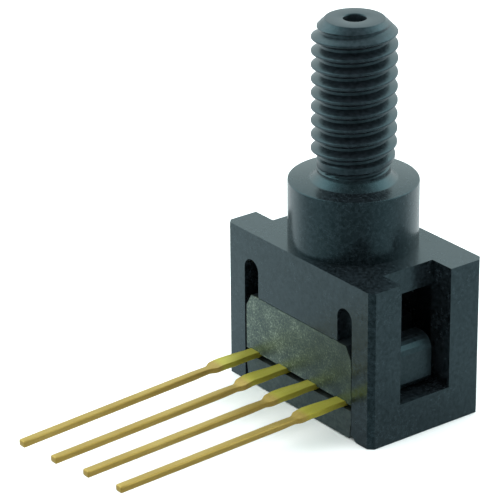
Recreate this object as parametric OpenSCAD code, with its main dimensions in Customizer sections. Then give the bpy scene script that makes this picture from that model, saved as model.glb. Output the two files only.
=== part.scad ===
// Miniature board-mount pressure sensor with a threaded pressure port.
// Origin: on the port axis, at the underside of the housing. Four leads leave the front face toward -Y.

/* [Housing body] */
// Width of the body, along the lead row
body_w = 12.7; // [12.4:0.1:13.6]
// Depth of the body, front face to rear face
body_d = 7.8; // [7.7:0.1:8.4]
// Height of the body, underside to roof
body_h = 9.2; // [9.0:0.1:10]
// Size of the flats that cut the four upright outer corners
corner_cut = 0.3; // [0.1:0.05:0.5]
// Thickness of the roof
roof_t = 1.42; // [1.2:0.02:1.6]
// Thickness of the front wall
front_wall = 1.1; // [0.9:0.05:1.2]
// Thickness of the rear wall
rear_wall = 1.2; // [0.9:0.05:1.3]

/* [Side windows] */
// How far each side window is cut in from the side face
window_depth = 1.55; // [1.3:0.05:1.6]
// Front edge of the side windows, measured from the port axis
window_front = -1.85; // [-2:0.05:-1.6]
// Rear edge of the side windows, measured from the port axis
window_rear = 1.6; // [1.3:0.05:1.8]
// Height of the sill that each latch hook rests on
sill_h = 2.14; // [2.1:0.01:2.3]

/* [Front opening] */
// Width of the opening in the front wall
opening_w = 9.44; // [9.3:0.02:9.6]
// Height of the opening, up to the lower edge of the tongue
opening_h = 5.48; // [5.2:0.02:5.6]
// Width of each relief slot beside the tongue
slot_w = 1.24; // [1.0:0.01:1.3]
// Height of the rounded top of the relief slots
slot_top = 7.6; // [7.2:0.01:7.65]
// Width of the lead-in chamfer at the foot of the opening
leadin_w = 0.42; // [0.2:0.02:0.5]
// Height of the lead-in chamfer at the foot of the opening
leadin_h = 0.3; // [0.2:0.02:0.4]

/* [Pressure port] */
// Diameter of the round shoulder under the thread
boss_d = 7.2; // [6.8:0.1:7.4]
// Height of the seating face on the shoulder
boss_top = 12.85; // [12.4:0.05:13]
// Height of the flat tip of the port
tip_h = 22.0; // [20:0.1:24]
// Diameter of the plain neck under the thread
neck_d = 3.94; // [3.8:0.02:4.1]
// Diameter at the foot of the conical fillet around the neck
fillet_d = 4.76; // [4.4:0.02:5]
// Height of the conical fillet
fillet_h = 0.45; // [0.3:0.05:0.6]
// Diameter of the pressure passage
port_d = 1.25; // [1.0:0.05:1.4]
// Major diameter of the thread
thread_d = 4.68; // [4.6:0.01:4.8]
// Pitch of the thread
thread_pitch = 0.79375; // [0.79375:0.00625:0.8]
// Root diameter of the thread
root_d = 3.74; // [3.7:0.01:3.86]
// Diameter of the flat tip inside its chamfer
tip_d = 3.24; // [3.0:0.02:3.4]

/* [Leads] */
// Spacing of the four leads
lead_pitch = 2.54; // [2.5:0.01:2.54]
// Thickness of the lead strip in the housing
lead_t = 0.33; // [0.25:0.01:0.34]
// Width of each lead where it leaves the front face
lead_broad = 0.75; // [0.6:0.01:0.8]
// Width over the trimmed tie-bar stubs
stub_w = 0.92; // [0.8:0.01:1.0]
// Width of the slim part of each lead
lead_slim = 0.48; // [0.4:0.01:0.55]
// Thickness of the slim part of each lead
slim_t = 0.36; // [0.3:0.01:0.4]
// Distance from the front face to the neck where the slim part starts
neck_at = 3.3; // [2.8:0.1:3.8]
// Free length of the first lead outside the front face
lead_len = 15.6; // [8:0.1:20]
// How much shorter each following lead is trimmed
trim_step = 0.32; // [0:0.02:0.4]
// How far the retainer and carrier sit towards the last lead, within their clearance
fit_shift = 0.07; // [0:0.01:0.08]

/* [Sensing stack] */
// Side of the silicon die and its glass wafer
die_w = 2.9; // [2.6:0.05:2.9]
// Thickness of the die
die_t = 0.4; // [0.3:0.05:0.4]
// Thickness of the glass wafer
wafer_t = 0.5; // [0.4:0.05:0.6]
// Thickness of the conductive seal
cond_seal_t = 1.33; // [1.2:0.01:1.4]

/* [Hidden] */
$fn = 64;

// body planes
x0 = body_w / 2;
y0 = body_d / 2;
roof_z = body_h - roof_t;
inner_front = -y0 + front_wall;
inner_rear = y0 - rear_wall;
open_x = opening_w / 2;
slot_in = open_x - slot_w;
notch_x = x0 - window_depth;

// lead levels: the leads lie between the retainer and the carrier
lead_top = 2.17;
lead_bot = lead_top - lead_t;
// each lead's own drop at the neck, in mm, and its downward angle from there, in degrees
neck_drop = [0.09, 0.2, 0.14, 0.13];
droop = [2.83, 2.43, 2.05, 1.8];
lip_gap = 0.08;
lip_top = lead_bot - 0.12;

// stack levels
die_z = lead_top + cond_seal_t;
wafer_z = die_z + die_t;
seal_z = wafer_z + wafer_t;
snout_z = 5.7;
snout_d = 4.4;
well_in = 3.1;
well_out = 4.6;
well_top = 4.9;

// latch arms
arm_out = open_x - 0.1;
arm_in = 3.95;
hook_x = 5.3;
hook_bot = sill_h + 0.16;
hook_top = 4.35;
arm_y0 = -1.35;
arm_y1 = 1.15;
arm_top = 5.05;

// thread helix: right-hand, crest height at the phase angle
thread_phase = 233;
crest_ref = 20.956;
steps = 28;
z_start = 13.85;
z_end = 21.62;
r_root = root_d / 2;
r_crest = thread_d / 2;
r_in = r_root - 0.06;
crest_half = 0.06;
root_half = crest_half + (r_crest - r_root) * tan(30);
in_half = root_half + (r_root - r_in) * tan(30);
a_start = (z_start - crest_ref) / thread_pitch * 360 + thread_phase;
a_end = (z_end - crest_ref) / thread_pitch * 360 + thread_phase;
n_steps = ceil((a_end - a_start) / 360 * steps);

function crest_z(a) = crest_ref + (a - thread_phase) / 360 * thread_pitch;
// chamfer cone at the tip and run-out at the foot
function cone_r(z) = tip_d / 2 + (tip_h - z) - 0.03;
function run_r(a) = r_root - 0.03 + (r_crest - r_root + 0.03) * min(1, (a - a_start) / 250);
function helix_pt(r, a, z) = [min(r, cone_r(z)) * cos(a), min(r, cone_r(z)) * sin(a), z];
function flank_half(r) = crest_half + (r_crest - r) * tan(30);
function ring_pts(a) = let (z = crest_z(a), r = run_r(a), h = flank_half(r))
    [helix_pt(r_in, a, z - in_half), helix_pt(r, a, z - h), helix_pt(r, a, z + h), helix_pt(r_in, a, z + in_half)];

// thick line through points, with round joints
module path2d(pts, w) {
    for (i = [0 : len(pts) - 2]) {
        d = pts[i + 1] - pts[i];
        translate(pts[i]) rotate(atan2(d[1], d[0])) translate([0, -w / 2]) square([norm(d), w]);
    }
    for (i = [1 : len(pts) - 1]) translate(pts[i]) circle(d = w);
}

// rectangle with round corners
module round_rect(w, d, r) {
    square([w - 2 * r, d], center = true);
    square([w, d - 2 * r], center = true);
    for (sx = [-1, 1], sy = [-1, 1]) translate([sx * (w / 2 - r), sy * (d / 2 - r)]) circle(r);
}

// rectangle whose corners are cut to flats
module flat_rect(w, d, c) {
    polygon([[w / 2 - c, -d / 2], [w / 2, -d / 2 + c], [w / 2, d / 2 - c], [w / 2 - c, d / 2], [-w / 2 + c, d / 2], [-w / 2, d / 2 - c], [-w / 2, -d / 2 + c], [-w / 2 + c, -d / 2]]);
}

// block between two corners
module block(a, b) { translate(a) cube(b - a); }

// helical ridge, swept around the core
module thread_ridge() {
    pts = [for (i = [0 : n_steps]) each ring_pts(a_start + (a_end - a_start) * i / n_steps)];
    sides = [for (i = [0 : n_steps - 1], j = [0 : 3])
        let (a = 4 * i + j, b = 4 * i + (j + 1) % 4, c = b + 4, d = a + 4)
        each [[a, b, c], [a, c, d]]];
    polyhedron(points = pts, faces = concat(sides, [[2, 1, 0], [3, 2, 0]],
        [[4 * n_steps, 4 * n_steps + 1, 4 * n_steps + 2], [4 * n_steps, 4 * n_steps + 2, 4 * n_steps + 3]]), convexity = 12);
}

// boss, fillet cone, neck and thread core, turned about the port axis
module port_core() {
    rotate_extrude() polygon([[0, roof_z - 0.2], [boss_d / 2, roof_z - 0.2], [boss_d / 2, boss_top - 0.06], [boss_d / 2 - 0.06, boss_top],
        [fillet_d / 2, boss_top], [neck_d / 2, boss_top + fillet_h], [neck_d / 2, z_start + 0.05], [r_root, z_start + 0.15],
        [r_root, tip_h - (r_root - tip_d / 2)], [tip_d / 2, tip_h], [0, tip_h]]);
}

module port_housing() {
    color([0.13, 0.14, 0.15]) difference() {
        union() {
            difference() {
                linear_extrude(body_h) flat_rect(body_w, body_d, corner_cut);
                // inner cavity, open below
                block([-open_x, inner_front, -0.1], [open_x, inner_rear, roof_z]);
                // front opening and the two relief slots
                block([-open_x, -y0 - 0.1, -0.1], [open_x, inner_front + 0.1, opening_h]);
                for (s = [-1, 1]) {
                    block([s > 0 ? slot_in : -open_x, -y0 - 0.1, opening_h - 0.1], [s > 0 ? open_x : -slot_in, inner_front + 0.1, slot_top - slot_w / 2]);
                    translate([s * (open_x - slot_w / 2), inner_front + 0.1, slot_top - slot_w / 2]) rotate([90, 0, 0]) cylinder(d = slot_w, h = front_wall + 0.3);
                    // side window, open through the roof
                    block([s > 0 ? notch_x : -x0 - 0.1, window_front, sill_h], [s > 0 ? x0 + 0.1 : -notch_x, window_rear, body_h + 0.1]);
                    block([s > 0 ? open_x - 0.1 : -notch_x - 0.1, window_front, sill_h], [s > 0 ? notch_x + 0.1 : -open_x + 0.1, window_rear, roof_z]);
                    // lead-in chamfer at the foot of the front pillars
                    translate([0, inner_front + 0.1, 0]) rotate([90, 0, 0]) linear_extrude(front_wall + 0.3)
                        polygon([[s * (open_x - 0.1), -0.1], [s * (open_x + leadin_w + 0.14), -0.1], [s * open_x, leadin_h], [s * (open_x - 0.1), leadin_h]]);
                }
            }
            port_core();
            thread_ridge();
            // snout that presses on the seal
            translate([0, 0, snout_z]) cylinder(d = snout_d, h = roof_z - snout_z + 0.2);
        }
        translate([0, 0, snout_z - 1]) cylinder(d = port_d, h = tip_h - snout_z + 2);
    }
}

// front lug outline of the retainer, tapered at the foot
module lug_outline() {
    polygon([[-4.45, 0.05], [4.45, 0.05], [arm_out, 1.0], [arm_out, lip_top], [-arm_out, lip_top], [-arm_out, 1.0]]);
}

module latch_retainer() {
    color([0.15, 0.16, 0.17]) translate([fit_shift, 0, 0]) difference() {
        union() {
            block([-arm_out, inner_front - 0.02, 0.05], [arm_out, inner_rear - 0.1, lead_bot]);
            translate([0, inner_front, 0]) rotate([90, 0, 0]) linear_extrude(front_wall) lug_outline();
            for (s = [-1, 1]) {
                block([s > 0 ? arm_in : -arm_out, arm_y0, lead_bot - 0.1], [s > 0 ? arm_out : -arm_in, arm_y1, arm_top]);
                translate([0, arm_y1, 0]) rotate([90, 0, 0]) linear_extrude(arm_y1 - arm_y0)
                    polygon([[s * (arm_out - 0.1), hook_bot], [s * (hook_x - 0.26), hook_bot], [s * hook_x, hook_bot + 0.38], [s * hook_x, hook_top], [s * (hook_x - 0.08), hook_top + 0.27], [s * (hook_x - 0.26), hook_top + 0.5], [s * (hook_x - 0.48), hook_top + 0.64], [s * (arm_out - 0.1), hook_top + 0.7]]);
            }
        }
        // reference vent
        translate([0, 1.75, -0.1]) cylinder(d = 1.0, h = 3);
    }
}

// outline of the front plate of the carrier, with clipped top corners
module plate_outline() {
    z1 = lead_top - lip_gap;
    polygon([[-4.62, z1], [4.62, z1], [4.62, 4.72], [4.18, opening_h - 0.02], [-4.18, opening_h - 0.02], [-4.62, 4.72]]);
}

module lead_carrier() {
    color([0.30, 0.32, 0.32]) difference() {
        translate([fit_shift, 0, 0]) union() {
            translate([0, inner_front, 0]) rotate([90, 0, 0]) linear_extrude(front_wall + 0.02) plate_outline();
            // shelf over the lead frame, and the well around the sensing stack
            block([-3.9, inner_front - 0.1, lead_top], [3.9, 2.45, 3.1]);
            block([-well_out / 2, -well_out / 2, lead_top], [well_out / 2, well_out / 2, well_top]);
        }
        block([-well_in / 2, -well_in / 2, 0], [well_in / 2, well_in / 2, 6]);
        // lead grooves in the lower edge
        for (k = [0 : 3]) block([(k - 1.5) * lead_pitch - lead_broad / 2 - 0.1, -y0 - 0.2, 1], [(k - 1.5) * lead_pitch + lead_broad / 2 + 0.1, inner_front + 0.1, lead_top]);
    }
}

// strip with rectangular sections [y, width, centre height, thickness], front to back faces closed
module strip_solid(st) {
    n = len(st);
    polyhedron(points = [for (q = st) each [[-q[1] / 2, q[0], q[2] - q[3] / 2], [q[1] / 2, q[0], q[2] - q[3] / 2],
            [q[1] / 2, q[0], q[2] + q[3] / 2], [-q[1] / 2, q[0], q[2] + q[3] / 2]]],
        faces = concat([for (i = [0 : n - 2], j = [0 : 3]) [4 * i + j, 4 * i + 4 + j, 4 * i + 4 + (j + 1) % 4, 4 * i + (j + 1) % 4]],
            [[0, 1, 2, 3]], [[4 * n - 1, 4 * n - 2, 4 * n - 3, 4 * n - 4]]), convexity = 4);
}

// one lead: inner route as a flat strip, then the free part with its tie-bar stubs, neck and slim bar
module lead(k, route) {
    xc = (k - 1.5) * lead_pitch;
    free_len = lead_len - k * trim_step;
    b = lead_broad / 2;
    zc = lead_top - lead_t / 2;
    drop = neck_drop[k];
    slope = tan(droop[k]);
    color([0.80, 0.66, 0.30]) union() {
        translate([0, 0, lead_bot]) linear_extrude(lead_t) {
            path2d(route, 0.5);
            translate([route[len(route) - 1][0] - 0.35, route[len(route) - 1][1] - 0.35]) square(0.7);
            translate([xc - b, -y0 + 0.02]) square([2 * b, front_wall - 0.1]);
        }
        translate([xc, -y0, 0]) strip_solid([[0.1, lead_broad, zc, lead_t], [-0.7, lead_broad, zc, lead_t], [-1.75, stub_w, zc, 0.34],
            [-2.35, stub_w, zc, 0.35], [-neck_at + 0.35, stub_w, zc - 0.55 * drop, 0.33], [-neck_at, 0.46, zc - drop, 0.29],
            [-neck_at - 0.9, lead_slim, zc - drop - 0.9 * slope, slim_t],
            [-free_len + 0.05, lead_slim, zc - drop - (free_len - 0.05 - neck_at) * slope, slim_t],
            [-free_len, lead_slim - 0.09, zc - drop - (free_len - neck_at) * slope, slim_t - 0.09]]);
    }
}

function mirror_x(p, s) = [s * p[0], p[1]];
function outer_pts(s) = [for (p = [[3.81, -3.2], [3.81, -2.7], [2.5, -1.5], [2.5, 0.3], [1.9, 0.9], [1.0, 0.9]]) mirror_x(p, s)];
function inner_pts(s) = [for (p = [[1.27, -3.2], [1.27, -2.2], [1.0, -1.6], [1.0, -0.9]]) mirror_x(p, s)];

module lead_1() { lead(0, outer_pts(-1)); }
module lead_2() { lead(1, inner_pts(-1)); }
module lead_3() { lead(2, inner_pts(1)); }
module lead_4() { lead(3, outer_pts(1)); }

strip = 0.7;
module conductive_seal() {
    color([0.72, 0.36, 0.30]) difference() {
        translate([0, 0, lead_top]) linear_extrude(cond_seal_t) square(3.0, center = true);
        translate([0, 0, lead_top - 0.1]) linear_extrude(cond_seal_t + 1) square(0.8, center = true);
        for (sx = [-1, 1], sy = [-1, 1]) translate([sx, sy * 0.9, lead_top - 0.1]) linear_extrude(cond_seal_t + 1) square(strip, center = true);
    }
}

module contact_strip(sx, sy) {
    color([0.62, 0.63, 0.65]) translate([sx, sy * 0.9, lead_top]) linear_extrude(cond_seal_t) square(strip, center = true);
}
module contact_strip_1() { contact_strip(-1, 1); }
module contact_strip_2() { contact_strip(-1, -1); }
module contact_strip_3() { contact_strip(1, -1); }
module contact_strip_4() { contact_strip(1, 1); }

module sensing_die() {
    color([0.42, 0.45, 0.50]) difference() {
        translate([0, 0, die_z]) linear_extrude(die_t) square(die_w, center = true);
        // etched recess over the thin diaphragm
        translate([0, 0, die_z + 0.06]) linear_extrude(die_t) square(1.2, center = true);
    }
}

module glass_wafer() {
    color([0.80, 0.88, 0.88]) difference() {
        translate([0, 0, wafer_z]) linear_extrude(wafer_t) square(die_w, center = true);
        translate([0, 0, wafer_z - 0.1]) linear_extrude(wafer_t + 1) square(0.8, center = true);
    }
}

module pressure_seal() {
    color([0.25, 0.25, 0.26]) translate([0, 0, seal_z]) difference() {
        linear_extrude(snout_z - seal_z) round_rect(2.8, 2.8, 0.5);
        translate([0, 0, -0.1]) linear_extrude(3) square(1.3, center = true);
    }
}

port_housing();
latch_retainer();
lead_carrier();
lead_1();
lead_2();
lead_3();
lead_4();
conductive_seal();
contact_strip_1();
contact_strip_2();
contact_strip_3();
contact_strip_4();
sensing_die();
glass_wafer();
pressure_seal();
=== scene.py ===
"""Threaded-port board-mount pressure sensor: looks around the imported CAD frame."""
import math

import bmesh
import bpy
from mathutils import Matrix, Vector


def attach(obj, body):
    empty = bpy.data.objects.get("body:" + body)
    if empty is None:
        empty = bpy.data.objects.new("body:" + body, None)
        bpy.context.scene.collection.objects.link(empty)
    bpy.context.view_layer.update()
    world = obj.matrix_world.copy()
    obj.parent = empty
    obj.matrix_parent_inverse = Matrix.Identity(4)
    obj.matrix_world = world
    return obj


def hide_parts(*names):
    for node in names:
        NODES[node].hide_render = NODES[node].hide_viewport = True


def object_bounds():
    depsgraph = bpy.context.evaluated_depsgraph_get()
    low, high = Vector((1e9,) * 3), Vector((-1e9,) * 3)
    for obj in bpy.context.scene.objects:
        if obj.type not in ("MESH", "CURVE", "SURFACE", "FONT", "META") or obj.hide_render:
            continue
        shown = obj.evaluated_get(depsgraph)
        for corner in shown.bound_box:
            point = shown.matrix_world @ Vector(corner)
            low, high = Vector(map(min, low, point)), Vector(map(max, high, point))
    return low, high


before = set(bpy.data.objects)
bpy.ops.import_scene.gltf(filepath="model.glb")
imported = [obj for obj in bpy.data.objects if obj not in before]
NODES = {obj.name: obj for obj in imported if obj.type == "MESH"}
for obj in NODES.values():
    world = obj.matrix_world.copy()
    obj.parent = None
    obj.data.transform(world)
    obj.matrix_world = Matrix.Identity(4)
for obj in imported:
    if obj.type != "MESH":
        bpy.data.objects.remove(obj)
CAD_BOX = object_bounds()
MM = 0.001
scene = bpy.context.scene

# ---------------------------------------------------------------- camera
AZ, EL, ROLL = math.radians(52.956), math.radians(23.838), math.radians(-0.469)
DIST = 162.712 * MM
TARGET = Vector((-6.232, -2.376, 7.027)) * MM
to_cam = Vector((math.sin(AZ) * math.cos(EL), -math.cos(AZ) * math.cos(EL), math.sin(EL)))
right0 = Vector((math.cos(AZ), math.sin(AZ), 0.0))
up0 = to_cam.cross(right0)
right = right0 * math.cos(ROLL) + up0 * math.sin(ROLL)
up = up0 * math.cos(ROLL) - right0 * math.sin(ROLL)

cam_data = bpy.data.cameras.new("camera")
cam_data.sensor_fit = "HORIZONTAL"
cam_data.sensor_width = 36.0
cam_data.lens = 2897.426 * 36.0 / 500.0
cam_data.clip_start = 0.005
cam_data.clip_end = 20.0
cam = bpy.data.objects.new("camera", cam_data)
scene.collection.objects.link(cam)
m = cam.matrix_world.copy()
for i in range(3):
    m[i][0], m[i][1], m[i][2] = right[i], up[i], to_cam[i]
    m[i][3] = (TARGET + to_cam * DIST)[i]
cam.matrix_world = m
scene.camera = cam
scene.view_settings.view_transform = "Standard"


# ---------------------------------------------------------------- node helpers
def new_tree(mat):
    mat.use_nodes = True
    nt = mat.node_tree
    nt.nodes.clear()
    return nt


def add(nt, kind, **values):
    n = nt.nodes.new(kind)
    for k, v in values.items():
        if hasattr(n, k):
            setattr(n, k, v)
        else:
            n.inputs[k.replace("_", " ")].default_value = v
    return n


def math_node(nt, op, a, b=None, c=None, clamp=False):
    n = nt.nodes.new("ShaderNodeMath")
    n.operation = op
    n.use_clamp = clamp
    for i, v in enumerate((a, b, c)):
        if v is None:
            continue
        if isinstance(v, (int, float)):
            n.inputs[i].default_value = v
        else:
            nt.links.new(v, n.inputs[i])
    return n.outputs[0]


def map_range(nt, value, a, b, lo, hi, smooth=False):
    n = nt.nodes.new("ShaderNodeMapRange")
    n.interpolation_type = "SMOOTHSTEP" if smooth else "LINEAR"
    nt.links.new(value, n.inputs["Value"])
    for key, v in (("From Min", a), ("From Max", b), ("To Min", lo), ("To Max", hi)):
        n.inputs[key].default_value = v
    return n.outputs["Result"]


def ramp(nt, value, stops):
    n = nt.nodes.new("ShaderNodeValToRGB")
    n.color_ramp.interpolation = "LINEAR"
    els = n.color_ramp.elements
    while len(els) > 1:
        els.remove(els[-1])
    els[0].position, els[0].color = stops[0][0], (*stops[0][1], 1.0)
    for pos, col in stops[1:]:
        e = els.new(pos)
        e.color = (*col, 1.0)
    nt.links.new(value, n.inputs["Fac"])
    return n.outputs["Color"]


def noise(nt, coord, scale, detail=2.0, rough=0.5, dist=0.0):
    n = nt.nodes.new("ShaderNodeTexNoise")
    n.inputs["Scale"].default_value = scale
    n.inputs["Detail"].default_value = detail
    n.inputs["Roughness"].default_value = rough
    n.inputs["Distortion"].default_value = dist
    nt.links.new(coord, n.inputs["Vector"])
    return n.outputs["Fac"]


def coords(nt, scale=None):
    tc = nt.nodes.new("ShaderNodeTexCoord")
    out = tc.outputs["Object"]
    if scale is not None:
        mp = nt.nodes.new("ShaderNodeMapping")
        mp.inputs["Scale"].default_value = scale
        nt.links.new(out, mp.inputs["Vector"])
        out = mp.outputs["Vector"]
    return out


def bump(nt, height, strength, distance, normal=None):
    n = nt.nodes.new("ShaderNodeBump")
    n.inputs["Strength"].default_value = strength
    n.inputs["Distance"].default_value = distance
    nt.links.new(height, n.inputs["Height"])
    if normal is not None:
        nt.links.new(normal, n.inputs["Normal"])
    return n.outputs["Normal"]


def principled(nt):
    out = nt.nodes.new("ShaderNodeOutputMaterial")
    p = nt.nodes.new("ShaderNodeBsdfPrincipled")
    nt.links.new(p.outputs[0], out.inputs["Surface"])
    return p


# ---------------------------------------------------------------- light
# A soft white surround: bright to both sides and behind, dim towards the camera and overhead.
world = bpy.data.worlds.new("studio")
scene.world = world
world.use_nodes = True
wt = world.node_tree
wt.nodes.clear()
w_out = wt.nodes.new("ShaderNodeOutputWorld")
w_bg = wt.nodes.new("ShaderNodeBackground")
wt.links.new(w_bg.outputs[0], w_out.inputs["Surface"])
w_dir = wt.nodes.new("ShaderNodeTexCoord").outputs["Generated"]
c_h = Vector((math.sin(AZ), -math.cos(AZ), 0.0))
s_h = Vector((math.cos(AZ), math.sin(AZ), 0.0))


def w_dot(v):
    n = wt.nodes.new("ShaderNodeVectorMath")
    n.operation = "DOT_PRODUCT"
    wt.links.new(w_dir, n.inputs[0])
    n.inputs[1].default_value = tuple(v)
    return n.outputs["Value"]


def lobe(az_deg, el_deg, k, amp):
    a, e = math.radians(az_deg), math.radians(el_deg)
    v = (c_h * math.cos(a) + s_h * math.sin(a)) * math.cos(e) + Vector((0, 0, 1)) * math.sin(e)
    d = math_node(wt, "SUBTRACT", w_dot(v), 1.0)
    return math_node(wt, "MULTIPLY", math_node(wt, "EXPONENT", math_node(wt, "MULTIPLY", d, k)), amp)


w_x = w_dot(c_h)
w_z = w_dot((0, 0, 1))
w_xn = math_node(wt, "MULTIPLY_ADD", w_x, 0.5, 0.5)
below = ramp(wt, w_xn, [(0.0, (0.9,) * 3), (0.12, (0.92,) * 3), (0.25, (1.0,) * 3), (0.5, (0.95,) * 3),
                        (0.67, (0.85,) * 3), (0.81, (0.66,) * 3), (0.90, (0.42,) * 3), (0.955, (0.33,) * 3), (1.0, (0.3,) * 3)])
below = math_node(wt, "MULTIPLY", below, 1.0)
back = math_node(wt, "MULTIPLY", map_range(wt, w_x, 0.25, -0.75, 0.0, 1.0, True), map_range(wt, w_z, 0.30, 0.75, 0.81, 0.66, True))
above = math_node(wt, "ADD", back, 0.18)
sides = math_node(wt, "ADD", lobe(104, 38, 5.0, 3.0), lobe(-104, 38, 5.0, 3.0))
above = math_node(wt, "ADD", above, math_node(wt, "MULTIPLY", sides, map_range(wt, w_z, 0.68, 0.95, 1.0, 0.30, True)))
w_mix = map_range(wt, w_z, -0.30, 0.12, 0.0, 1.0, True)
light = math_node(wt, "ADD", math_node(wt, "MULTIPLY", above, w_mix),
                  math_node(wt, "MULTIPLY", below, math_node(wt, "SUBTRACT", 1.0, w_mix)))
wt.links.new(light, w_bg.inputs["Strength"])
w_bg.inputs["Color"].default_value = (0.85, 1.0, 1.0, 1.0)

# ---------------------------------------------------------------- floor
def grey(stops, tint=(1.0, 1.0, 1.0)):
    return [(pos, tuple(v * t for t in tint)) for pos, v in stops]


COOL = (0.90, 1.0, 1.02)
CARD_NEAR = grey([(0.0, 1.0), (0.25, 1.05), (0.45, 0.95), (0.62, 0.74), (0.80, 0.52), (0.90, 0.47), (0.955, 0.52), (1.0, 0.42)], COOL)
CARD_FAR = grey([(0.0, 1.15), (0.25, 1.45), (0.35, 1.36), (0.41, 1.12), (0.5, 0.94), (0.67, 0.86), (0.82, 0.74), (0.90, 0.58), (0.94, 0.46), (0.97, 0.36), (1.0, 0.30)], COOL)
OVERHEAD_W = 9.0
fm = bpy.data.meshes.new("floor")
R = 3.0
fm.from_pydata([(-R, -R, 0), (R, -R, 0), (R, R, 0), (-R, R, 0)], [], [(0, 1, 2, 3)])
floor = bpy.data.objects.new("floor", fm)
scene.collection.objects.link(floor)
floor.location.z = CAD_BOX[0][2] - 0.00002
mat = bpy.data.materials.new("floor_paper")
nt = new_tree(mat)
p = principled(nt)
p.inputs["Base Color"].default_value = (0.9, 0.9, 0.9, 1)
p.inputs["Roughness"].default_value = 0.9
p.inputs["Specular IOR Level"].default_value = 0.0
floor.data.materials.append(mat)
floor.visible_glossy = False

# A soft reflector card under the object, seen only in its gloss: bright to the sides and behind, dim on the side of the camera.
cm = bpy.data.meshes.new("card")
cm.from_pydata([(-R, -R, 0), (R, -R, 0), (R, R, 0), (-R, R, 0)], [], [(0, 1, 2, 3)])
card = bpy.data.objects.new("card", cm)
scene.collection.objects.link(card)
card.location.z = CAD_BOX[0][2] - 0.00006
card.visible_camera = False
card.visible_diffuse = False
card.visible_transmission = False
card.visible_volume_scatter = False
card.visible_shadow = False
mat = bpy.data.materials.new("card_glow")
nt = new_tree(mat)
out = nt.nodes.new("ShaderNodeOutputMaterial")
em = nt.nodes.new("ShaderNodeEmission")
nt.links.new(em.outputs[0], out.inputs["Surface"])
pos = nt.nodes.new("ShaderNodeTexCoord").outputs["Object"]
ln = nt.nodes.new("ShaderNodeVectorMath")
ln.operation = "LENGTH"
nt.links.new(pos, ln.inputs[0])
dt = nt.nodes.new("ShaderNodeVectorMath")
dt.operation = "DOT_PRODUCT"
nt.links.new(pos, dt.inputs[0])
dt.inputs[1].default_value = tuple(c_h)
turn = math_node(nt, "DIVIDE", dt.outputs["Value"], math_node(nt, "MAXIMUM", ln.outputs["Value"], 0.0002))
turn = math_node(nt, "MULTIPLY_ADD", turn, 0.5, 0.5)
near = ramp(nt, turn, CARD_NEAR)
far = ramp(nt, turn, CARD_FAR)
mix = nt.nodes.new("ShaderNodeMix")
mix.data_type = "RGBA"
nt.links.new(map_range(nt, ln.outputs["Value"], 0.007, 0.014, 0.0, 1.0, True), mix.inputs["Factor"])
nt.links.new(near, mix.inputs["A"])
nt.links.new(far, mix.inputs["B"])
nt.links.new(mix.outputs["Result"], em.inputs["Color"])
em.inputs["Strength"].default_value = 1.0
card.data.materials.append(mat)

# A broad soft light overhead keeps the floor pale.
ld = bpy.data.lights.new("overhead", "AREA")
ld.shape = "DISK"
ld.size = 1.1
ld.energy = OVERHEAD_W
lo = bpy.data.objects.new("overhead", ld)
scene.collection.objects.link(lo)
lo.location = (0.0, 0.0, 0.9)
lo.visible_camera = False
lo.visible_glossy = False


# ---------------------------------------------------------------- mesh helpers (millimetres)
def to_object(bm, name):
    me = bpy.data.meshes.new(name)
    bm.to_mesh(me)
    bm.free()
    ob = bpy.data.objects.new(name, me)
    scene.collection.objects.link(ob)
    return ob


def prism(name, outline, lo, hi, axis):
    """Closed prism of a 2D outline between lo and hi along an axis: 'z' takes (x, y), 'y' takes (x, z)."""
    bm = bmesh.new()

    def at(p, t):
        return (p[0], p[1], t) if axis == "z" else (p[0], t, p[1])

    a = [bm.verts.new(at(p, lo)) for p in outline]
    b = [bm.verts.new(at(p, hi)) for p in outline]
    n = len(outline)
    for i in range(n):
        bm.faces.new((a[i], a[(i + 1) % n], b[(i + 1) % n], b[i]))
    bm.faces.new(a[::-1])
    bm.faces.new(b)
    bmesh.ops.recalc_face_normals(bm, faces=bm.faces)
    return to_object(bm, name)


def block(lo, hi):
    return prism("tool", [(lo[0], lo[1]), (hi[0], lo[1]), (hi[0], hi[1]), (lo[0], hi[1])], lo[2], hi[2], "z")


def evaluated(ob):
    bpy.context.view_layer.update()
    dg = bpy.context.evaluated_depsgraph_get()
    me = bpy.data.meshes.new_from_object(ob.evaluated_get(dg), depsgraph=dg)
    old = ob.data
    ob.modifiers.clear()
    ob.data = me
    bpy.data.meshes.remove(old)


def boolean(ob, tool, op="DIFFERENCE"):
    md = ob.modifiers.new("b", "BOOLEAN")
    md.operation = op
    md.solver = "EXACT"
    md.object = tool
    evaluated(ob)
    me = tool.data
    bpy.data.objects.remove(tool)
    bpy.data.meshes.remove(me)


def clean(ob, angle=0.5):
    """Merges doubles and rejoins coplanar faces."""
    bm = bmesh.new()
    bm.from_mesh(ob.data)
    bmesh.ops.remove_doubles(bm, verts=bm.verts, dist=1e-5)
    bmesh.ops.dissolve_limit(bm, angle_limit=math.radians(angle), verts=bm.verts, edges=bm.edges)
    bmesh.ops.recalc_face_normals(bm, faces=bm.faces)
    bm.to_mesh(ob.data)
    bm.free()


def bevel(ob, width, segments=2, angle=40, clamp=True):
    md = ob.modifiers.new("bevel", "BEVEL")
    md.width = width
    md.segments = segments
    md.limit_method = "ANGLE"
    md.angle_limit = math.radians(angle)
    md.use_clamp_overlap = clamp
    md.harden_normals = False
    evaluated(ob)


def smooth(ob, angle=35):
    for p in ob.data.polygons:
        p.use_smooth = True
    ob.data.set_sharp_from_angle(angle=math.radians(angle))


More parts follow.
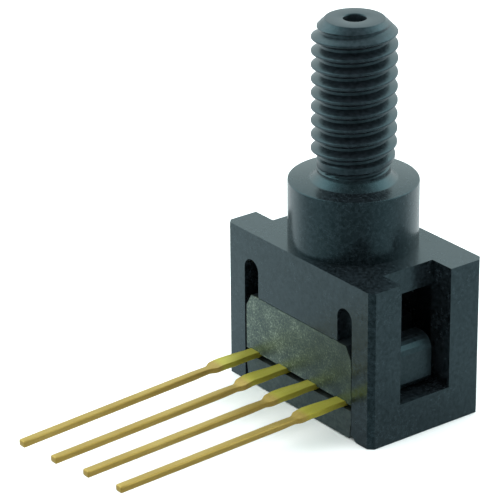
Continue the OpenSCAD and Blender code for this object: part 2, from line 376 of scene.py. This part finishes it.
def finish_piece(ob, name, nodes, mat, weighted=True):
    for v in ob.data.vertices:
        v.co = v.co * MM
    ob.data.update()
    ob.name = name
    ob.data.name = name
    ob.data.materials.clear()
    ob.data.materials.append(mat)
    if weighted:
        md = ob.modifiers.new("normals", "WEIGHTED_NORMAL")
        md.keep_sharp = True
        md.weight = 100
    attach(ob, "root")
    if nodes:
        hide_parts(*nodes)
    return ob


# ---------------------------------------------------------------- materials
def mix_rgb(nt, fac, a, b):
    n = nt.nodes.new("ShaderNodeMix")
    n.data_type = "RGBA"
    nt.links.new(fac, n.inputs["Factor"])
    for key, v in (("A", a), ("B", b)):
        if isinstance(v, tuple):
            n.inputs[key].default_value = (*v, 1.0)
        else:
            nt.links.new(v, n.inputs[key])
    return n.outputs["Result"]


def shade(base, lo, hi):
    return [(0.36, tuple(v * lo for v in base)), (0.64, tuple(v * hi for v in base))]


def plastic(name, base, tint, rough, rough_var, grain, grain_depth, wave_depth, zone, zone_base, zone_rough, zone_grain):
    """Moulded plastic with fine grain. zone = (axis, start, full): past start the surface takes zone_base as its base
    colour and zone_rough and zone_grain for its roughness and grain; on the housing thread the lighter zone_base is
    painted fill light.
    """
    mt = bpy.data.materials.new(name)
    nt = new_tree(mt)
    p = principled(nt)
    c = coords(nt)
    sep = nt.nodes.new("ShaderNodeSeparateXYZ")
    nt.links.new(c, sep.inputs[0])
    z = map_range(nt, sep.outputs[zone[0]], zone[1] * MM, zone[2] * MM, 0.0, 1.0)
    fine = noise(nt, c, 1.0 / (grain * MM), 2.0, 0.5)
    mottle = noise(nt, c, 1.0 / (0.21 * MM), 2.0, 0.55)
    broad = noise(nt, c, 1.0 / (2.4 * MM), 2.0, 0.5)
    mid = noise(nt, c, 1.0 / (0.5 * MM), 2.0, 0.5)
    v = math_node(nt, "ADD", math_node(nt, "MULTIPLY", fine, 0.3), math_node(nt, "MULTIPLY", mottle, 0.7))
    # Base colour: mottled black, turning to zone_base past the zone start; on the housing thread zone_base is painted
    # fill light in the shaded grooves.
    col = mix_rgb(nt, z, ramp(nt, v, shade(base, 0.22, 2.0)), ramp(nt, v, shade(zone_base, 0.45, 1.6)))
    nt.links.new(col, p.inputs["Base Color"])
    r = math_node(nt, "MULTIPLY_ADD", math_node(nt, "SUBTRACT", mottle, 0.5), rough_var * 1.2, rough)
    r = math_node(nt, "MULTIPLY_ADD", math_node(nt, "SUBTRACT", broad, 0.5), rough_var, r)
    r = math_node(nt, "MULTIPLY_ADD", z, zone_rough - rough, r, clamp=True)
    nt.links.new(r, p.inputs["Roughness"])
    n = bump(nt, broad, 1.0, wave_depth * MM)
    n = bump(nt, mid, 1.0, wave_depth * 0.35 * MM, n)
    n = bump(nt, mottle, 1.0, zone_grain * MM, n)
    n = bump(nt, fine, 1.0, grain_depth * MM, n)
    nt.links.new(n, p.inputs["Normal"])
    p.inputs["IOR"].default_value = 1.50
    p.inputs["Specular Tint"].default_value = (*tint, 1.0)
    return mt


BLACK = (0.0060, 0.0080, 0.0096)
TINT = (0.48, 0.88, 1.0)
# Housing zone is the thread: its lighter base colour is painted fill light standing in for the light the shaded grooves
# lack; its roughness and grain change too.
M_HOUSING = plastic("housing_plastic", BLACK, TINT, 0.25, 0.10, 0.05, 0.0012, 0.006, ("Z", 13.3, 13.7), (0.0105, 0.0125, 0.0155), 0.33, 0.0022)
# Retainer zone: lighter and rougher on the front, outside the housing.
M_RETAINER = plastic("retainer_plastic", BLACK, TINT, 0.36, 0.16, 0.06, 0.003, 0.006, ("Y", -2.9, -3.1), (0.027, 0.031, 0.027), 0.55, 0.010)


def carrier_resin():
    """Filled grey resin: coarse pale specks, lighter towards one end, and painted shade: near-black within the housing,
    where little light reaches.
    """
    mt = bpy.data.materials.new("carrier_resin")
    nt = new_tree(mt)
    p = principled(nt)
    c = coords(nt)
    speck = noise(nt, c, 1.0 / (0.115 * MM), 3.0, 0.75)
    fine = noise(nt, c, 1.0 / (0.04 * MM), 2.0, 0.6)
    patch = noise(nt, c, 1.0 / (0.7 * MM), 2.0, 0.6)
    broad = noise(nt, c, 1.0 / (1.6 * MM), 2.0, 0.5)
    sep = nt.nodes.new("ShaderNodeSeparateXYZ")
    nt.links.new(c, sep.inputs[0])
    lean = map_range(nt, sep.outputs["X"], -0.8 * MM, 3.4 * MM, 0.0, -0.14)
    v = math_node(nt, "ADD", math_node(nt, "ADD", speck, math_node(nt, "MULTIPLY", math_node(nt, "SUBTRACT", patch, 0.5), 0.35)), lean)
    col = ramp(nt, v, [(0.30, (0.009, 0.012, 0.009)), (0.45, (0.028, 0.036, 0.025)), (0.56, (0.059, 0.073, 0.049)), (0.67, (0.175, 0.205, 0.150))])
    # Painted shade: behind the front face the resin turns near-black, standing in for the shade within the housing.
    painted_shade_inside = map_range(nt, sep.outputs["Y"], -3.88 * MM, -3.82 * MM, 0.0, 1.0)
    mx = nt.nodes.new("ShaderNodeMix")
    mx.data_type = "RGBA"
    nt.links.new(painted_shade_inside, mx.inputs["Factor"])
    nt.links.new(col, mx.inputs["A"])
    mx.inputs["B"].default_value = (0.008, 0.010, 0.011, 1.0)
    nt.links.new(mx.outputs["Result"], p.inputs["Base Color"])
    r = math_node(nt, "MULTIPLY_ADD", math_node(nt, "SUBTRACT", speck, 0.5), 0.3, 0.38, clamp=True)
    nt.links.new(r, p.inputs["Roughness"])
    n = bump(nt, broad, 1.0, 0.008 * MM)
    n = bump(nt, speck, 1.0, 0.012 * MM, n)
    n = bump(nt, fine, 1.0, 0.003 * MM, n)
    nt.links.new(n, p.inputs["Normal"])
    p.inputs["IOR"].default_value = 1.5
    p.inputs["Specular Tint"].default_value = (*TINT, 1.0)
    return mt


def gold(name):
    """Thin gold over drawn strip: lengthwise draw lines and slow colour drift; greener on the broad root near the
    housing, a painted reflection of the teal housing.
    """
    mt = bpy.data.materials.new(name)
    nt = new_tree(mt)
    p = principled(nt)
    c = coords(nt)
    lines = noise(nt, coords(nt, (1.0, 0.03, 1.0)), 1.0 / (0.06 * MM), 3.0, 0.6)
    drift = noise(nt, coords(nt, (1.0, 0.35, 1.0)), 1.0 / (0.9 * MM), 2.0, 0.5)
    grain = noise(nt, c, 1.0 / (0.09 * MM), 3.0, 0.65)
    sep = nt.nodes.new("ShaderNodeSeparateXYZ")
    nt.links.new(c, sep.inputs[0])
    # Painted reflection: on the broad root near the housing the gold turns greener, standing in for the teal housing it
    # reflects.
    root = map_range(nt, sep.outputs["Y"], -6.7 * MM, -6.3 * MM, 0.0, 1.0)
    v = math_node(nt, "ADD", math_node(nt, "MULTIPLY", lines, 0.35), math_node(nt, "MULTIPLY", drift, 0.40))
    v = math_node(nt, "ADD", v, math_node(nt, "MULTIPLY", grain, 0.25))
    slim = ramp(nt, v, [(0.34, (0.305, 0.198, 0.038)), (0.50, (0.365, 0.246, 0.054)), (0.66, (0.435, 0.310, 0.088))])
    # Painted reflection colour: greener gold for the broad root.
    broad = ramp(nt, v, [(0.34, (0.36, 0.305, 0.030)), (0.50, (0.43, 0.375, 0.045)), (0.66, (0.50, 0.445, 0.085))])
    nt.links.new(mix_rgb(nt, root, slim, broad), p.inputs["Base Color"])
    r = math_node(nt, "MULTIPLY_ADD", math_node(nt, "SUBTRACT", lines, 0.5), 0.18, 0.42)
    r = math_node(nt, "MULTIPLY_ADD", math_node(nt, "SUBTRACT", drift, 0.5), 0.10, r, clamp=True)
    nt.links.new(r, p.inputs["Roughness"])
    n = bump(nt, drift, 1.0, 0.006 * MM)
    n = bump(nt, lines, 1.0, 0.0015 * MM, n)
    n = bump(nt, grain, 1.0, 0.0015 * MM, n)
    nt.links.new(n, p.inputs["Normal"])
    p.inputs["Metallic"].default_value = 0.66
    return mt


def simple(name, lo, hi, rough, grain, depth, metal=0.0, trans=0.0):
    mt = bpy.data.materials.new(name)
    nt = new_tree(mt)
    p = principled(nt)
    c = coords(nt)
    f = noise(nt, c, 1.0 / (grain * MM), 3.0, 0.6)
    b = noise(nt, c, 1.0 / (grain * 9 * MM), 2.0, 0.5)
    nt.links.new(ramp(nt, f, [(0.3, lo), (0.7, hi)]), p.inputs["Base Color"])
    nt.links.new(math_node(nt, "MULTIPLY_ADD", math_node(nt, "SUBTRACT", b, 0.5), 0.2, rough, clamp=True), p.inputs["Roughness"])
    nt.links.new(bump(nt, f, 1.0, depth * MM), p.inputs["Normal"])
    p.inputs["Metallic"].default_value = metal
    p.inputs["Transmission Weight"].default_value = trans
    return mt


M_CARRIER = carrier_resin()
M_GOLD = gold("gold_plating")
M_SEAL = simple("seal_elastomer", (0.30, 0.085, 0.05), (0.42, 0.13, 0.08), 0.55, 0.05, 0.002)
M_STRIP = simple("conductive_elastomer", (0.16, 0.16, 0.17), (0.34, 0.34, 0.36), 0.45, 0.04, 0.002)
M_DIE = simple("silicon", (0.10, 0.115, 0.14), (0.15, 0.165, 0.19), 0.15, 0.2, 0.0003, metal=0.6)
M_WAFER = simple("wafer_glass", (0.62, 0.70, 0.68), (0.70, 0.78, 0.76), 0.12, 0.3, 0.0003, trans=0.7)
M_PORTSEAL = simple("port_elastomer", (0.018, 0.018, 0.019), (0.032, 0.032, 0.034), 0.6, 0.05, 0.002)


# ---------------------------------------------------------------- housing (millimetres)
def build_body():
    c = 0.3
    pts = [(6.35 - c, -3.9), (6.35, -3.9 + c), (6.35, 3.9 - c), (6.35 - c, 3.9), (-6.35 + c, 3.9), (-6.35, 3.9 - c), (-6.35, -3.9 + c), (-6.35 + c, -3.9)]
    ob = prism("housing", pts, 0.0, 9.2, "z")
    boolean(ob, block((-4.72, -2.8, -1), (4.72, 2.7, 7.78)))
    boolean(ob, block((-4.72, -5, -1), (4.72, -2.7, 5.48)))
    for s in (-1, 1):
        cx = s * (4.72 - 0.62)
        w = 0.62
        zc = 7.60 - w
        arc = [(cx + w * math.cos(math.radians(a)), zc + w * math.sin(math.radians(a))) for a in range(0, 181, 10)]
        boolean(ob, prism("tool", [(cx + w, 5.0)] + arc + [(cx - w, 5.0)], -5, -2.6, "y"))
        lo, hi = (4.8, 8.0) if s > 0 else (-8.0, -4.8)
        boolean(ob, block((lo, -1.85, 2.14), (hi, 1.6, 10)))
        lo, hi = (4.5, 5.0) if s > 0 else (-5.0, -4.5)
        boolean(ob, block((lo, -1.85, 2.14), (hi, 1.6, 7.78)))
        boolean(ob, prism("tool", [(s * 4.5, -0.5), (s * 5.42, -0.5), (s * 5.14, 0.0), (s * 4.72, 0.3), (s * 4.5, 0.3)], -5, -2.6, "y"))
    boolean(ob, prism("tool", [(1.2 * math.cos(math.radians(a)), 1.2 * math.sin(math.radians(a))) for a in range(0, 360, 12)], 5, 11, "z"))
    clean(ob)
    return ob


PITCH = 0.79375
REF_Z, REF_A = 20.956, 233.0
R_ROOT, R_CREST, R_NECK = 1.885, 2.34, 2.0
T30 = math.tan(math.radians(30))
RISE_A = (13.812 - REF_Z) / PITCH * 360 + REF_A


def smin(a, b, k):
    h = max(k - abs(a - b), 0.0) / k
    return min(a, b) - h * h * k * 0.25


def smax(a, b, k):
    return -smin(-a, -b, k)


def core_r(z):
    if z < 13.45:
        return R_NECK
    if z < 13.55:
        return R_NECK - (z - 13.45) / 0.1 * (R_NECK - R_ROOT)
    return min(R_ROOT, 1.62 + (22.0 - z))


def port_r(a, z, off):
    """Radius of the port at height z, where the nearest crest is off away and lies at helix angle a."""
    rc = R_NECK + (R_CREST - R_NECK) * min(1.0, max(0.0, (a - RISE_A) / 255.0))
    ridge = smin(rc, R_CREST - (abs(off) - 0.055) / T30, 0.035)
    ridge = smin(ridge, 1.59 + (22.0 - z) + 0.02, 0.02)
    return smax(core_r(z), ridge, 0.03) if ridge > core_r(z) - 0.1 else core_r(z)


def build_port(n=96):
    offs = [0.0, 0.035, 0.06, 0.085, 0.16, 0.23, 0.285, 0.32, 0.35]
    offs = sorted(set([-o for o in offs] + offs)) + [PITCH / 2]
    K = len(offs)
    lathe_lo = [(0.625, 5.7), (0.70, 5.7), (2.1, 5.7), (2.2, 5.8), (2.2, 8.4), (3.6, 8.4), (3.6, 9.0), (3.6, 12.78), (3.594, 12.815), (3.575, 12.838), (3.54, 12.85),
                (2.46, 12.85), (2.405, 12.86), (2.36, 12.895), (2.045, 13.235), (2.01, 13.29), (2.0, 13.35)]
    lathe_hi = [(1.66, 21.945), (1.645, 21.975), (1.615, 21.993), (1.58, 22.0), (0.71, 22.0), (0.665, 21.99), (0.638, 21.965), (0.625, 21.92), (0.625, 14.0)]
    z_lo, z_hi = 13.42, 21.80
    t0 = math.floor((z_lo - REF_Z) / PITCH + REF_A / 360) - 2
    t1 = math.ceil((z_hi - REF_Z) / PITCH + REF_A / 360) + 1
    rows = []
    for r, z in lathe_lo:
        rows.append(("L", [(r, z)] * n))
    first = len(rows)
    for t in range(t0, t1 + 1):
        for off in offs:
            col = []
            for j in range(n):
                a = 360.0 * t + 360.0 * j / n
                z = REF_Z + (a - REF_A) / 360 * PITCH + off
                if z <= z_lo:
                    col.append((core_r(z_lo), z_lo))
                elif z >= z_hi:
                    col.append((core_r(z_hi), z_hi))
                else:
                    col.append((port_r(a, z, off), z))
            rows.append(("H", col))
    last = len(rows) - 1
    for r, z in lathe_hi:
        rows.append(("L", [(r, z)] * n))
    bm = bmesh.new()
    grid = []
    for kind, col in rows:
        grid.append([bm.verts.new((r * math.cos(2 * math.pi * j / n), r * math.sin(2 * math.pi * j / n), z)) for j, (r, z) in enumerate(col)])

    def v(i, j):
        if j < n:
            return grid[i][j]
        if rows[i][0] == "L":
            return grid[i][0]
        return grid[min(i + K, last)][0]

    total = len(rows)
    for i in range(total):
        i2 = (i + 1) % total
        for j in range(n):
            vs = []
            for q in (v(i, j), v(i, j + 1), v(i2, j + 1), v(i2, j)):
                if q not in vs:
                    vs.append(q)
            if len(vs) >= 3:
                try:
                    bm.faces.new(vs)
                except ValueError:
                    pass
    bmesh.ops.remove_doubles(bm, verts=bm.verts, dist=2e-5)
    bmesh.ops.dissolve_degenerate(bm, edges=bm.edges, dist=1e-5)
    loose = [vv for vv in bm.verts if not vv.link_faces]
    bmesh.ops.delete(bm, geom=loose, context="VERTS")
    bmesh.ops.recalc_face_normals(bm, faces=bm.faces)
    return to_object(bm, "port")


def open_edges(ob):
    bm = bmesh.new()
    bm.from_mesh(ob.data)
    bad = sum(1 for e in bm.edges if len(e.link_faces) != 2)
    vol = bm.calc_volume()
    bm.free()
    return bad, round(vol, 2), len(ob.data.polygons)


body = build_body()
print("body", open_edges(body))
bevel(body, 0.08, 2)
print("body bevelled", open_edges(body))
port = build_port()
print("port", open_edges(port))
boolean(body, port, "UNION")
print("housing", open_edges(body))
smooth(body, 32)
finish_piece(body, "housing_shell", ["port_housing"], M_HOUSING)

# ---------------------------------------------------------------- leads (millimetres)
LEAD_TOP, LEAD_T = 2.17, 0.33
DROP = (0.09, 0.2, 0.14, 0.13)
DROOP = (2.83, 2.43, 2.05, 1.8)
OUTER = [(1.0, 0.9), (1.9, 0.9), (2.5, 0.3), (2.5, -1.5), (3.81, -2.7), (3.81, -3.2)]
INNER = [(1.0, -0.9), (1.0, -1.6), (1.27, -2.2), (1.27, -3.2)]


def section(w, t, r, crown, steps=4):
    """Rounded strip section in (across, up), anticlockwise, with slightly crowned faces."""
    pts = []
    for sx, sz, a0 in ((1, -1, -90), (1, 1, 0), (-1, 1, 90), (-1, -1, 180)):
        for k in range(steps + 1):
            a = math.radians(a0 + 90 * k / steps)
            pts.append((sx * (w / 2 - r) + r * math.cos(a), sz * (t / 2 - r) + r * math.sin(a)))
    out = []
    for i, q in enumerate(pts):
        out.append(q)
        if i % (steps + 1) == steps:
            nx = pts[(i + 1) % len(pts)]
            for f in (0.25, 0.5, 0.75):
                x, z = q[0] + (nx[0] - q[0]) * f, q[1] + (nx[1] - q[1]) * f
                out.append((x, z))
    # crown: faces fall away to their edges, so the outline stays inside w by t
    res = []
    for x, z in out:
        u, v = min(1.0, abs(x) / (w / 2)), min(1.0, abs(z) / (t / 2))
        if abs(z) >= t / 2 - 1e-6:
            z -= math.copysign(crown * u * u, z)
        if abs(x) >= w / 2 - 1e-6:
            x -= math.copysign(crown * v * v, x)
        res.append((x, z))
    return res


def build_lead(k):
    xc = (k - 1.5) * 2.54
    side = -1 if k < 2 else 1
    route = [(side * x, y) for x, y in (OUTER if k in (0, 3) else INNER)]
    zc = LEAD_TOP - LEAD_T / 2
    drop, slope = DROP[k], math.tan(math.radians(DROOP[k]))
    free = 15.6 - 0.32 * k
    st = []  # x, y, z, width, thickness, corner radius, crown
    for x, y in route:
        st.append((x, y, zc, 0.5, LEAD_T, 0.02, 0.0))
    st[0] = (*st[0][:3], 0.7, LEAD_T, 0.02, 0.0)
    for d, w, dz, t, r, cr in (
        (-0.1, 0.75, 0, LEAD_T, 0.035, 0.004), (0.7, 0.75, 0, LEAD_T, 0.035, 0.004), (1.2, 0.84, 0, 0.335, 0.035, 0.005), (1.75, 0.92, 0, 0.34, 0.04, 0.006),
        (2.35, 0.92, 0, 0.35, 0.045, 0.008), (2.62, 0.92, 0.22, 0.345, 0.05, 0.01), (2.82, 0.91, 0.42, 0.335, 0.05, 0.01), (2.95, 0.88, 0.55, 0.33, 0.055, 0.01),
        (3.08, 0.74, 0.78, 0.33, 0.065, 0.012), (3.2, 0.58, 0.93, 0.325, 0.075, 0.013), (3.32, 0.50, 1.0, 0.32, 0.085, 0.014),
    ):
        st.append((xc, -3.9 - d, zc - dz * drop, w, t, r, cr))
    d = 3.55
    while d < free - 0.12:
        g = min(1.0, (d - 3.3) / 0.9)
        wob = 0.004 * math.sin(d * 2.1 + k * 1.7)
        st.append((xc, -3.9 - d, zc - drop - (d - 3.3) * slope, 0.50 + 0.03 * g - abs(wob), 0.32 + 0.07 * g - abs(wob), 0.085 + 0.02 * g, 0.014))
        d += 0.75
    for dd, sh, r in ((0.06, 0.0, 0.105), (0.03, 0.025, 0.10), (0.008, 0.07, 0.09), (0.0, 0.12, 0.075)):
        st.append((xc, -3.9 - free + dd, zc - drop - (free - 3.3) * slope, 0.53 - sh, 0.39 - sh, r, 0.014))
    bm = bmesh.new()
    rings = []
    for i, (x, y, z, w, t, r, cr) in enumerate(st):
        a, b = st[max(0, i - 1)], st[min(len(st) - 1, i + 1)]
        d1 = Vector((x - a[0], y - a[1])).normalized() if i else None
        d2 = Vector((b[0] - x, b[1] - y)).normalized() if i < len(st) - 1 else None
        d1, d2 = d1 or d2, d2 or d1
        tan = (d1 + d2).normalized()
        wide = 1.0 / max(0.5, tan.dot(d2))
        across = Vector((-tan.y, tan.x))
        if across.x < 0 and abs(tan.y) > 0.5 and tan.y > 0:
            across = -across
        ring = [bm.verts.new((x + across.x * px * wide, y + across.y * px * wide, z + pz)) for px, pz in section(w, t, r, cr)]
        rings.append(ring)
    n = len(rings[0])
    for p0, p1 in zip(rings, rings[1:]):
        for j in range(n):
            bm.faces.new((p0[j], p0[(j + 1) % n], p1[(j + 1) % n], p1[j]))
    bm.faces.new(rings[0][::-1])
    bm.faces.new(rings[-1])
    bmesh.ops.recalc_face_normals(bm, faces=bm.faces)
    return to_object(bm, f"lead_{k + 1}_strip")


for k in range(4):
    ob = build_lead(k)
    print("lead", k + 1, open_edges(ob))
    smooth(ob, 60)
    finish_piece(ob, f"lead_{k + 1}_strip", [f"lead_{k + 1}"], M_GOLD, weighted=False)

# ---------------------------------------------------------------- the other pieces keep their CAD shape
LOOK = {
    "latch_retainer": (M_RETAINER, 0.05),
    "lead_carrier": (M_CARRIER, 0.05),
    "conductive_seal": (M_SEAL, 0.03),
    "contact_strip_1": (M_STRIP, 0.02), "contact_strip_2": (M_STRIP, 0.02), "contact_strip_3": (M_STRIP, 0.02), "contact_strip_4": (M_STRIP, 0.02),
    "sensing_die": (M_DIE, 0.01),
    "glass_wafer": (M_WAFER, 0.02),
    "pressure_seal": (M_PORTSEAL, 0.04),
}
for name, (mt, width) in LOOK.items():
    ob = NODES[name]
    for s in ob.material_slots:
        s.material = mt
    if not ob.material_slots:
        ob.data.materials.append(mt)
    md = ob.modifiers.new("edge", "BEVEL")
    md.width = width * MM
    md.segments = 2
    md.limit_method = "ANGLE"
    md.angle_limit = math.radians(40)
    md.use_clamp_overlap = True
